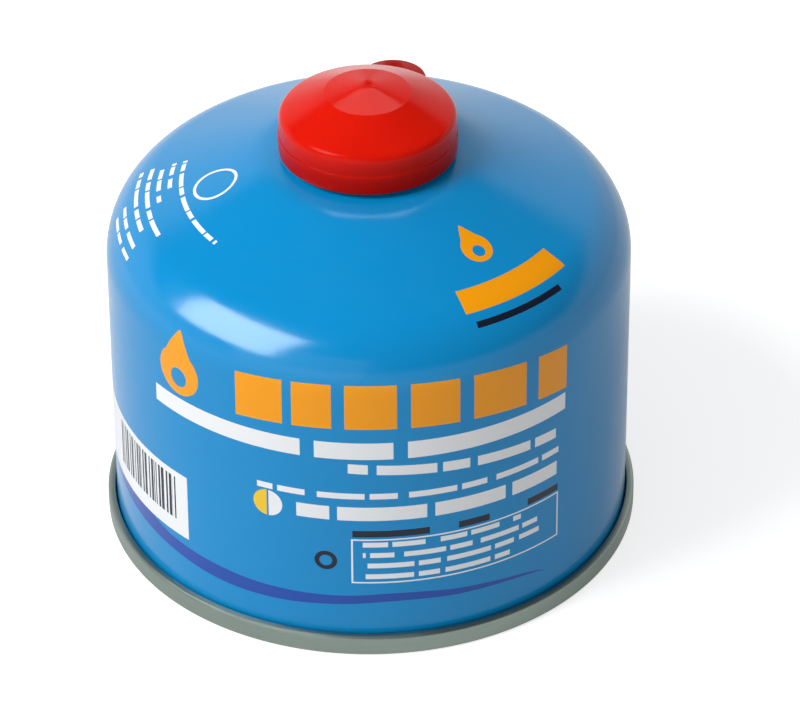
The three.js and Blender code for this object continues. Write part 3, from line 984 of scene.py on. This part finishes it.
sky_enamel = enamel()
tinplate = bare_metal(
    "bare_tinplate", (0.34, 0.40, 0.36, 1), (0.22, 0.27, 0.24, 1), (0.32, 0.46), 2200.0)
cup_steel = bare_metal(
    "tinned_valve_steel", (0.62, 0.60, 0.54, 1), (0.48, 0.47, 0.43, 1), (0.24, 0.38), 3000.0)
wire_steel = bare_metal(
    "bright_wire", (0.55, 0.54, 0.52, 1), (0.42, 0.41, 0.40, 1), (0.22, 0.34), 4000.0)
red = cap_red()
acetal = moulded("white_acetal", (0.78, 0.76, 0.70, 1), (0.70, 0.68, 0.62, 1), 0.42, 1500.0)
rubber = moulded("black_rubber", (0.022, 0.022, 0.022, 1), (0.014, 0.014, 0.014, 1), 0.75, 1800.0)

can = add_piece(
    "enamelled_can", turned(can_outline()), sky_enamel, "blue_paint", "can", "can_body")
base = add_piece(
    "seamed_base", turned(base_outline()), tinplate, "bare_tinplate", "can", "base_end")
cup = add_piece(
    "threaded_valve_cup", turned(cup_outline(), 144, True, thread), cup_steel, "valve_steel",
    "can", "valve_cup")
cap = add_piece(
    "snap_cap", turned(cap_outline(), TURN_STEPS, True, gate_mark), red, "red_plastic",
    "cap", "protective_cap")
tab = add_piece("pull_tab", tab_mesh(), red, "red_plastic", "cap", "protective_cap")
ribs = add_piece("stop_ribs", ribs_mesh(), red, "red_plastic", "cap", "protective_cap")
ribs.data.shade_flat()
gasket_ring = ring_outline(
    MOUTH_RADIUS + 0.7, CURL_RADIUS - 0.7, MOUTH_TOP + 0.02, GASKET_TOP - 0.02, 0.12)
add_piece(
    "mouth_gasket", turned(gasket_ring, 128, True), rubber, "black_rubber", "can", "cup_gasket")
seal_ring = ring_outline(
    STEM_RADIUS + CLEARANCE, SEAL_RADIUS, STEP + 0.01, SEAL_TOP - 0.02, 0.1)
add_piece(
    "stem_seal_ring", turned(seal_ring, 96, True), rubber, "black_rubber", "can", "stem_seal")
stem = add_piece(
    "valve_stem_pin", turned(stem_outline(), 64), acetal, "white_plastic", "stem", "valve_stem")
add_piece(
    "valve_housing_cup", turned(housing_outline(), 96, True), acetal, "white_plastic",
    "can", "valve_housing")
spring = add_piece(
    "coil_spring", spring_mesh(), wire_steel, "spring_steel", "can", "valve_spring")
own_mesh(spring)


def make_floor():
    """A pale floor, lifted to white for what sees it; its gloss share grows away from the can."""
    mesh = bpy.data.meshes.new("studio_floor")
    work = bmesh.new()
    bmesh.ops.create_circle(work, cap_ends=True, radius=FLOOR_RADIUS, segments=96)
    work.to_mesh(mesh)
    work.free()
    floor = bpy.data.objects.new("studio_floor", mesh)
    bpy.context.collection.objects.link(floor)
    s = Shader("pale_floor")
    s.set(Base_Color=FLOOR_GREY, Roughness=0.9, Specular_IOR_Level=0.0)
    s.set(Emission_Color=(1, 1, 1, 1))
    path = s.node("ShaderNodeLightPath").outputs
    away = s.node("ShaderNodeVectorMath", operation="LENGTH")
    s.put(away.inputs[0], s.place)
    share = s.remap(away.outputs["Value"], *FLOOR_GLOSS_RADII, *FLOOR_GLOSS_SHARES)
    gloss = s.math("MULTIPLY", path["Is Glossy Ray"], share)
    seen = s.largest([path["Is Camera Ray"], path["Is Transmission Ray"], gloss])
    s.set(Emission_Strength=s.math("MULTIPLY", seen, FLOOR_LIFT))
    mesh.materials.append(s.material)


def make_world():
    """White for camera and glass rays and near the horizon for gloss, and a plain level for light.

    For gloss, the white reaches higher behind the can, to the left and right of the middle.
    """
    world = bpy.data.worlds.new("studio")
    world.use_nodes = True
    s = Tree(world.node_tree)
    light = s.tree.nodes["Background"]
    light.inputs["Color"].default_value = (1, 1, 1, 1)
    path = s.node("ShaderNodeLightPath").outputs
    _, x, y, z = s.coordinates("Generated")
    sides = s.remap(s.math("ABSOLUTE", x), *SIDE_WIDTHS, 0.0, SIDE_REACH)
    height = s.math("SUBTRACT", z, s.math("MULTIPLY", s.math("MAXIMUM", y, 0.0), sides))
    fade = s.remap(height, *HORIZON_HEIGHTS, 1.0, OVERHEAD_LEVEL, smooth=True)
    gloss = s.math("MULTIPLY", path["Is Glossy Ray"], fade)
    seen = s.largest([path["Is Camera Ray"], path["Is Transmission Ray"]])
    others = s.math("SUBTRACT", 1.0, s.largest([seen, path["Is Glossy Ray"]]))
    plain = s.math("MULTIPLY", others, AMBIENT_LEVEL)
    s.put(light.inputs["Strength"], s.math("ADD", s.largest([seen, gloss]), plain))
    bpy.context.scene.world = world


def area_lamp(name, spot, aim, size, power, pieces=()):
    """A soft box that the camera doesn't see, lighting only the given pieces if there are any."""
    data = bpy.data.lights.new(name, "AREA")
    data.shape = "RECTANGLE"
    data.size, data.size_y = size
    data.energy = power
    lamp = bpy.data.objects.new(name, data)
    lamp.location = spot
    lamp.visible_camera = False
    lamp.rotation_euler = (Vector(aim) - Vector(spot)).to_track_quat("-Z", "Y").to_euler()
    bpy.context.collection.objects.link(lamp)
    if pieces:
        group = bpy.data.collections.new(name + "_pieces")
        for piece in pieces:
            group.objects.link(piece)
        lamp.light_linking.receiver_collection = group
    return lamp


make_floor()
make_world()

# The left soft box lights everything. Its gloss is split in two: the enamel shows a wide box,
# the other pieces a small one.
main_light = area_lamp("softbox_left", LEFT_SPOT, CAN_MIDDLE, (0.5, 0.5), 10.5)
main_light.visible_glossy = False
wide_gloss = area_lamp(
    "softbox_left_wide", (-0.894, -0.436, 0.72), CAN_MIDDLE, (1.0, 0.82), 36.0, [can])
wide_gloss.visible_diffuse = False
small_gloss = area_lamp(
    "softbox_left_small", LEFT_SPOT, CAN_MIDDLE, (0.5, 0.5), 10.5,
    [base, cup, cap, tab, stem, spring])
small_gloss.visible_diffuse = False
area_lamp("softbox_back", BACK_SPOT, CAN_TOP, (0.34, 0.42), 1.3, [can, base, cup])
area_lamp("softbox_cap", BACK_SPOT, CAN_TOP, (0.56, 0.42), 2.3, [cap])
area_lamp("fill_front", (-0.55, -1.0, 0.30), CAN_MIDDLE, (1.2, 0.8), 2.2)

scene = bpy.context.scene
scene.view_settings.view_transform = "Standard"

bpy.context.view_layer.update()
